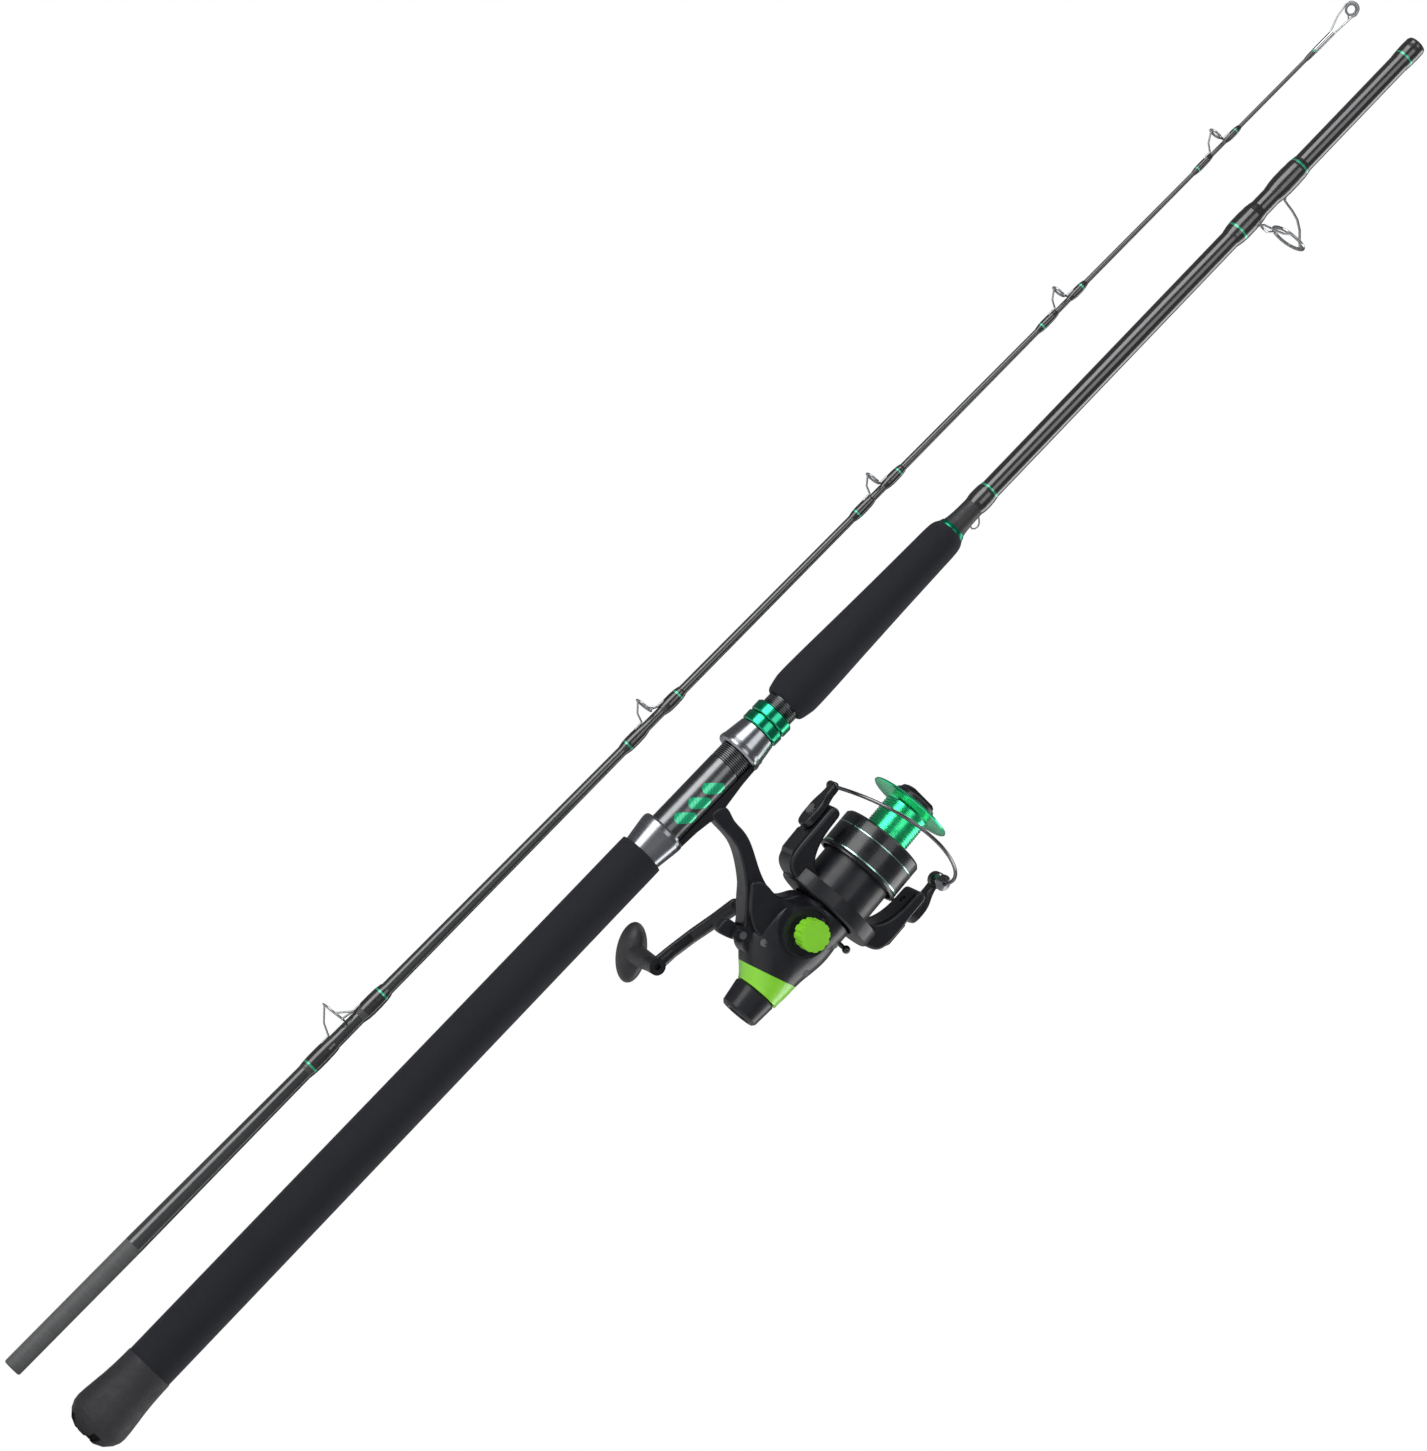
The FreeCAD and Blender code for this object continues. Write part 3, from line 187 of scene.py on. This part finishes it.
def threaded(name, color, rough, start, pitch):
    """Drawn tube with painted shade in each thread groove above the height start; start and pitch are in
    metres.
    """
    g = Graph(name)
    streaks = g.noise(60.0, 2.0, 0.5, (1.0, 1.0, 12.0))
    height = g.add("ShaderNodeSeparateXYZ", Vector=g.where).outputs["Z"]
    zone = g.spread(height, 0.0, 1.0, start, start + 0.0004)
    # A wave texture of scale s repeats every 2 pi / 20 s.
    turns = g.bands(2 * math.pi / (20 * pitch))
    groove_shade = g.add("ShaderNodeMath", Value=zone)
    groove_shade.operation = "MULTIPLY"
    g.put(groove_shade.inputs[1], turns)
    face = g.tint(streaks, shade(color, 0.96), shade(color, 1.04))
    # Painted shade: each thread groove is coloured near-black where shade falls in it.
    mixed = g.blend(groove_shade.outputs[0], face, (*shade(color, 0.12), 1.0))
    g.set(Base_Color=mixed, Metallic=1.0, Roughness=g.spread(g.noise(35.0, 2.0), rough - 0.02, rough + 0.03))
    return g.mat


def rubber(name, color, pebble=700.0, depth=0.00025, rough=0.62):
    """Dark rubber with a pebbled, slightly dusty skin."""
    g = Graph(name)
    dust = g.noise(30.0, 6.0)
    g.set(Base_Color=g.tint(dust, shade(color, 0.8), shade(color, 1.35)),
          Roughness=g.spread(g.noise(200.0, 5.0), rough - 0.07, rough + 0.1))
    g.bump(g.cells(pebble), 0.6, depth)
    g.bump(g.noise(2600.0, 3.0), 0.3, 0.00006)
    return g.mat


def foam(name, color):
    """Closed-cell EVA foam: fine open specks in a soft matt face, with a faint sheen."""
    g = Graph(name)
    specks = g.noise(1500.0, 8.0, 0.7)
    patches = g.noise(22.0, 4.0)
    fine = g.tint(specks, shade(color, 0.62), shade(color, 1.4), 0.36, 0.66)
    broad = g.tint(patches, (0.82, 0.82, 0.82), (1.0, 1.0, 1.0))
    g.set(Base_Color=g.blend(1.0, fine, broad, "MULTIPLY"), Roughness=g.spread(specks, 0.78, 0.95),
          Specular_IOR_Level=0.35, Sheen_Weight=0.06, Sheen_Roughness=0.5, Sheen_Tint=(0.6, 0.68, 0.85, 1.0))
    g.bump(specks, 0.55, 0.00016)
    g.bump(g.cells(420.0), 0.25, 0.00012)
    return g.mat


def thread(name, color, crest_glint=0.0, metallic=0.0, pitch=420.0):
    """Fine winding thread under clear epoxy, with painted shade between its turns and a painted highlight on
    their crests.
    """
    g = Graph(name)
    turns = g.bands(pitch, "Z", 0.6)
    # Painted shade and highlight: each turn runs from dark in the gaps to bright on its crest, and the extra
    # factor brightens the painted highlight further.
    g.set(Base_Color=g.tint(turns, shade(color, 0.6), shade(color, 1.25 + crest_glint), 0.1, 0.9),
          Metallic=metallic, Roughness=g.spread(g.noise(300.0), 0.28, 0.42),
          Coat_Weight=1.0, Coat_Roughness=0.03)
    g.bump(turns, 0.15, 0.00005)
    g.bump(g.noise(120.0, 2.0), 0.12, 0.0002)
    return g.mat


def lacquer(name, color, rough=0.22, fibre=0.15):
    """Clear-coated composite tube with a faint woven shimmer below the gloss."""
    g = Graph(name)
    weave = g.noise(90.0, 4.0, 0.6, (1.0, 1.0, 0.08))
    g.set(Base_Color=g.tint(weave, shade(color, 1 - fibre), shade(color, 1 + 2 * fibre)),
          Roughness=g.spread(weave, rough, rough + 0.14), Coat_Weight=1.0, Coat_Roughness=0.035)
    g.bump(g.noise(18.0, 3.0), 0.04, 0.0003)
    return g.mat


def bare_composite(name, color):
    """Ground ferrule face: matt, with fine rings left by sanding."""
    g = Graph(name)
    rings = g.noise(260.0, 6.0, 0.6, (0.3, 0.3, 6.0))
    g.set(Base_Color=g.tint(rings, shade(color, 0.78), shade(color, 1.15)),
          Roughness=g.spread(rings, 0.5, 0.68))
    g.bump(rings, 0.35, 0.00008)
    return g.mat


def lens(name, color):
    """Green metallic window with faint slanting lines below a glossy face."""
    g = Graph(name)
    lines = g.bands(260.0, "DIAGONAL", 0.4)
    g.set(Base_Color=g.tint(lines, shade(color, 0.8), shade(color, 1.15), 0.1, 0.6),
          Metallic=0.6, Roughness=g.spread(g.noise(80.0, 2.0), 0.24, 0.3),
          Coat_Weight=1.0, Coat_Roughness=0.04)
    g.bump(g.noise(90.0, 2.0), 0.05, 0.0001)
    return g.mat


BLACK = (0.0085, 0.009, 0.0125)
GUNMETAL = (0.30, 0.31, 0.33)
GREEN = (0.008, 0.400, 0.200)
LIME = (0.250, 0.700, 0.030)

LOOKS = {
    "cap": rubber("cap_rubber", (0.016, 0.016, 0.019)),
    "grip": foam("eva_foam", (0.0095, 0.0100, 0.0140)),
    "cone": rubber("cone_rubber", (0.020, 0.020, 0.022), pebble=1200.0, depth=0.00008, rough=0.5),
    "blank": lacquer("blank_lacquer", (0.010, 0.010, 0.012)),
    "tip": lacquer("tip_lacquer", (0.022, 0.023, 0.024), rough=0.26),
    "wrap": thread("wrap_thread", (0.010, 0.010, 0.011)),
    # Green thread with a stronger painted highlight on the crest of each turn.
    "band": thread("band_thread", (0.020, 0.330, 0.170), crest_glint=0.6, metallic=0.6, pitch=520.0),
    "spigot": bare_composite("spigot_face", (0.085, 0.087, 0.088)),
    "check": metal("check_anodised", (0.010, 0.22, 0.12), rough=0.3, stretch=(1.0, 1.0, 5.0)),
    "wire": metal("guide_wire", (0.40, 0.41, 0.42), rough=0.14, grain=300.0, depth=0.000004),
    "ceramic": plastic("ring_ceramic", (0.16, 0.165, 0.175), rough=0.12, coat=0.6, vary=0.08, grain=900.0,
                       grain_depth=0.00001, spec=0.6),
    "seat": threaded("seat_gunmetal", (0.15, 0.153, 0.158), rough=0.27, start=0.2665, pitch=0.00125),
    "hood": metal("hood_gunmetal", GUNMETAL, rough=0.24, stretch=(1.0, 1.0, 12.0), grain=60.0,
                  depth=0.000001, vary=0.04, coat=0.3),
    "inlay": lens("inlay_lens", (0.015, 0.60, 0.28)),
    "nut": metal("nut_anodised", GREEN, rough=0.22, stretch=(1.0, 1.0, 12.0), grain=80.0, depth=0.000001,
                 vary=0.1, coat=0.4),
    "body": plastic("body_charcoal", BLACK, rough=0.36, coat=0.12, vary=0.14, grain=1700.0,
                    grain_depth=0.00003, spec=0.35),
    "cover": plastic("cover_charcoal", (0.0095, 0.010, 0.0135), rough=0.33, coat=0.15, vary=0.14,
                     grain=1700.0, grain_depth=0.00003, spec=0.35),
    "rotor": plastic("rotor_charcoal", (0.0095, 0.010, 0.0135), rough=0.36, coat=0.1, vary=0.14,
                     grain=1600.0, grain_depth=0.00003, spec=0.35),
    "gloss": plastic("gloss_black", (0.010, 0.0105, 0.013), rough=0.27, coat=0.2, vary=0.1, grain=700.0,
                     grain_depth=0.00001, spec=0.45),
    "trim": metal("trim_bright", (0.42, 0.72, 0.60), rough=0.2, stretch=(1.0, 1.0, 20.0), grain=80.0,
                  depth=0.000004),
    "lime": plastic("lime_shell", LIME, rough=0.34, coat=0.35, vary=0.10, grain=1200.0),
    "spool": metal("spool_anodised", (0.05, 0.80, 0.36), rough=0.28, stretch=(1.0, 1.0, 12.0), grain=80.0,
                   depth=0.000001, vary=0.1, coat=0.35),
    "dark_wire": metal("dark_chrome", (0.15, 0.15, 0.16), rough=0.2, grain=300.0, depth=0.000002),
    "chrome": metal("polished_chrome", (0.42, 0.43, 0.45), rough=0.12, grain=300.0, depth=0.000004),
    "steel": metal("bright_steel", (0.58, 0.59, 0.61), rough=0.26, stretch=(1.0, 1.0, 4.0), grain=600.0),
    "shaft": metal("ground_shaft", (0.66, 0.67, 0.69), rough=0.2, stretch=(1.0, 1.0, 12.0), grain=420.0,
                   depth=0.00001),
    "gear": metal("gear_zinc", (0.46, 0.46, 0.47), rough=0.36, grain=300.0, depth=0.00005, vary=0.16),
    "brass": metal("pinion_brass", (0.72, 0.52, 0.22), rough=0.26, stretch=(1.0, 1.0, 5.0), grain=420.0,
                   depth=0.00003, vary=0.12),
    "acetal": plastic("acetal_gear", (0.72, 0.72, 0.68), rough=0.45, vary=0.06),
    "washer": metal("washer_carbon", (0.10, 0.10, 0.105), rough=0.45, depth=0.00004, vary=0.3),
    "knob": rubber("knob_rubber", (0.013, 0.013, 0.016), pebble=1500.0, depth=0.00005, rough=0.48),
}

NODE_LOOKS = {
    "butt_blank": "blank", "butt_cap": "cap", "rear_grip": "grip", "foregrip": "grip",
    "winding_check": "check", "grip_cone": "cone", "hook_keeper": "chrome", "butt_wraps": "wrap",
    "butt_trim_bands": "band", "stripper_frame": "wire", "stripper_ring": "ceramic",
    "reel_seat_tube": "seat", "seat_inlays": "inlay", "rear_hood": "hood", "sliding_hood": "hood",
    "lock_nut_lower": "nut", "lock_nut_upper": "nut", "reel_body": "body", "side_cover": "cover",
    "rear_band": "lime", "cover_screws": "steel", "body_bearings": "steel",
    "anti_reverse_clutch": "steel", "rear_drag_washers": "washer", "cam_pin": "steel",
    "lever_pin": "chrome", "drive_gear": "gear", "handle_cap": "lime", "crank_hub": "body",
    "handle_arm": "body", "knob_post": "steel", "handle_knob": "knob", "oscillation_gear": "acetal",
    "rotor": "rotor", "pinion_gear": "brass", "rotor_nut": "steel", "arm_covers": "gloss",
    "bail_spring": "steel", "bail_wire": "dark_wire", "bail_pivot_arm": "gloss", "roller_arm": "gloss",
    "bail_screws": "steel", "line_roller": "chrome", "main_shaft": "shaft", "crosshead": "body",
    "spool_core": "spool", "spool_skirt": "gloss", "spool_trim_rings": "trim", "drag_washers": "washer",
    "front_drag_knob": "body", "rear_drag_knob": "body", "baitfeeder_lever": "body",
    "anti_reverse_lever": "gloss", "tip_blank": "tip", "tip_spigot": "spigot", "tip_wraps": "wrap",
    "tip_trim_bands": "band", "tip_guide_frames": "wire", "tip_guide_rings": "ceramic",
    "tip_top_frame": "wire",
}


def paint_nodes():
    for name, node in NODES.items():
        node.data.materials.clear()
        node.data.materials.append(LOOKS[NODE_LOOKS[name]])


# ---------------------------------------------------------------- mesh pieces

def new_piece(name, bm, look, body):
    """Object made from a mesh under construction, riding its body."""
    mesh = bpy.data.meshes.new(name)
    bm.to_mesh(mesh)
    bm.free()
    for polygon in mesh.polygons:
        polygon.use_smooth = True
    mesh.materials.append(LOOKS[look])
    obj = bpy.data.objects.new(name, mesh)
    bpy.context.scene.collection.objects.link(obj)
    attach(obj, body)
    return obj


def turned(points, steps=96):
    """Closed mesh turned about +Z from (radius, height) points."""
    bm = bmesh.new()
    loops = []
    for r, z in points:
        ring = []
        for i in range(steps):
            a = 2 * math.pi * i / steps
            ring.append(bm.verts.new((r * math.cos(a), r * math.sin(a), z)))
        loops.append(ring)
    for low, high in zip(loops, loops[1:] + loops[:1]):
        for i in range(steps):
            j = (i + 1) % steps
            bm.faces.new((low[i], low[j], high[j], high[i]))
    bmesh.ops.recalc_face_normals(bm, faces=bm.faces)
    return bm


def smooth_profile(points, per_span=6):
    """Catmull-Rom curve through (radius, height) points."""
    pts = [Vector(p) for p in points]
    out = []
    for i in range(len(pts) - 1):
        p0, p1, p2, p3 = pts[max(i - 1, 0)], pts[i], pts[i + 1], pts[min(i + 2, len(pts) - 1)]
        for k in range(per_span):
            t = k / per_span
            out.append(0.5 * ((2 * p1) + (p2 - p0) * t + (2 * p0 - 5 * p1 + 4 * p2 - p3) * t * t
                              + (3 * p1 - p0 - 3 * p2 + p3) * t ** 3))
    return [tuple(p) for p in out] + [tuple(pts[-1])]


def mm(points):
    """Millimetres above the floor to metres in the shared frame."""
    return [(r / 1000, FLOOR + z / 1000) for r, z in points]


def span(node):
    """Foot and top of a CAD node, in millimetres above the floor."""
    low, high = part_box(node)
    return (low.z - FLOOR) * 1000, (high.z - FLOOR) * 1000


def foam_grip(name, node, outside, bore):
    """One foam grip turned from its outside and its bore, in place of the CAD grip."""
    grip = new_piece(name, turned(mm(smooth_profile(outside) + bore)), "grip", "rod")
    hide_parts(node)


def rear_foam():
    """Long, nearly straight grip with eased ends."""
    foot, top = span("rear_grip")
    outside = [(14.1, foot), (14.55, foot + 0.7), (14.65, foot + 2.5), (14.6, foot + 60), (14.3, foot + 230),
               (14.1, top - 40), (14.05, top - 3.4), (13.7, top - 1.4), (12.6, top)]
    foam_grip("grip_foam_rear", "rear_grip", outside, [(BORE_R, top), (BORE_R, foot)])


def front_foam():
    """Short grip that swells above its foot and tapers to the winding check."""
    foot = span("foregrip")[0]
    top = foot + FOREGRIP_LENGTH
    outside = [(12.0, foot), (12.9, foot + 1.4), (14.2, foot + 7), (14.7, foot + 12.2), (14.45, foot + 28.2),
               (13.4, foot + 59.2), (12.5, foot + 89.2), (11.8, foot + 118.2), (11.45, top - 8.5),
               (10.8, top - 3.1), (9.4, top)]
    step = foot + FOOT_BORE_DEPTH
    bore = [(BORE_R, top), (BORE_R, step + 2), (FOOT_BORE_R, step), (FOOT_BORE_R, foot)]
    foam_grip("grip_foam_front", "foregrip", outside, bore)


# ---------------------------------------------------------------- stage

def paper(name, color, rough):
    """White sweep: matt to the lights, and evenly white to the eye."""
    g = Graph(name)
    g.set(Base_Color=(*color, 1.0), Roughness=rough)
    glow = g.add("ShaderNodeEmission", Color=(1.0, 1.0, 1.0, 1.0), Strength=1.0)
    mix = g.add("ShaderNodeMixShader")
    g.tree.links.new(g.add("ShaderNodeLightPath").outputs["Is Camera Ray"], mix.inputs[0])
    g.tree.links.new(g.shader.outputs[0], mix.inputs[1])
    g.tree.links.new(glow.outputs[0], mix.inputs[2])
    g.tree.links.new(mix.outputs[0], g.tree.nodes["Material Output"].inputs["Surface"])
    return g.mat


def stage():
    bm = bmesh.new()
    corners = ((-1, -1), (1, -1), (1, 1), (-1, 1))
    bm.faces.new([bm.verts.new((x * FLOOR_HALF, y * FLOOR_HALF, FLOOR - FLOOR_DROP)) for x, y in corners])
    mesh = bpy.data.meshes.new("floor")
    bm.to_mesh(mesh)
    bm.free()
    mesh.materials.append(paper("floor_white", (0.93, 0.93, 0.93), 0.9))
    floor = bpy.data.objects.new("floor", mesh)
    bpy.context.scene.collection.objects.link(floor)

    world = bpy.data.worlds.new("white_room")
    world.use_nodes = True
    tree = world.node_tree
    backdrop = tree.nodes["Background"]
    backdrop.inputs["Color"].default_value = (1.0, 1.0, 1.0, 1.0)
    room = tree.nodes.new("ShaderNodeBackground")
    room.inputs["Color"].default_value = (0.95, 0.97, 1.0, 1.0)
    room.inputs["Strength"].default_value = ROOM_LIGHT
    mix = tree.nodes.new("ShaderNodeMixShader")
    tree.links.new(tree.nodes.new("ShaderNodeLightPath").outputs["Is Camera Ray"], mix.inputs["Fac"])
    tree.links.new(room.outputs[0], mix.inputs[1])
    tree.links.new(backdrop.outputs[0], mix.inputs[2])
    tree.links.new(mix.outputs[0], tree.nodes["World Output"].inputs["Surface"])
    bpy.context.scene.world = world
    bpy.context.scene.view_settings.view_transform = "Standard"


def softbox(name, at, aim, size, power):
    light = bpy.data.lights.new(name, "AREA")
    light.shape = "RECTANGLE"
    light.size, light.size_y = size
    light.energy = power
    obj = bpy.data.objects.new(name, light)
    obj.location = at
    obj.rotation_euler = (Vector(aim) - Vector(at)).to_track_quat("-Z", "Y").to_euler()
    bpy.context.scene.collection.objects.link(obj)


def lights():
    middle = (0.0, 0.0, FLOOR + AIM_HEIGHT)
    for name, (x, y, height), size, power in SOFTBOXES:
        softbox(name, (x, y, FLOOR + height), middle, size, power)


def camera():
    cos_rise = math.cos(CAMERA_RISE)
    forward = Vector((math.sin(CAMERA_TURN) * cos_rise, math.cos(CAMERA_TURN) * cos_rise,
                      math.sin(CAMERA_RISE)))
    level = Vector((math.cos(CAMERA_TURN), -math.sin(CAMERA_TURN), 0.0))
    upright = level.cross(forward)
    right = level * math.cos(CAMERA_ROLL) + upright * math.sin(CAMERA_ROLL)
    up = -level * math.sin(CAMERA_ROLL) + upright * math.cos(CAMERA_ROLL)
    turn = Matrix((right, up, -forward)).transposed()
    data = bpy.data.cameras.new("camera")
    data.sensor_fit = "VERTICAL"
    data.sensor_height = 36.0
    data.lens = CAMERA_LENS
    obj = bpy.data.objects.new("camera", data)
    obj.rotation_mode = "QUATERNION"
    obj.matrix_world = Matrix.Translation(CAMERA_AT) @ turn.to_4x4()
    bpy.context.scene.collection.objects.link(obj)
    bpy.context.scene.camera = obj


paint_nodes()
rear_foam()
front_foam()
stage()
lights()
camera()
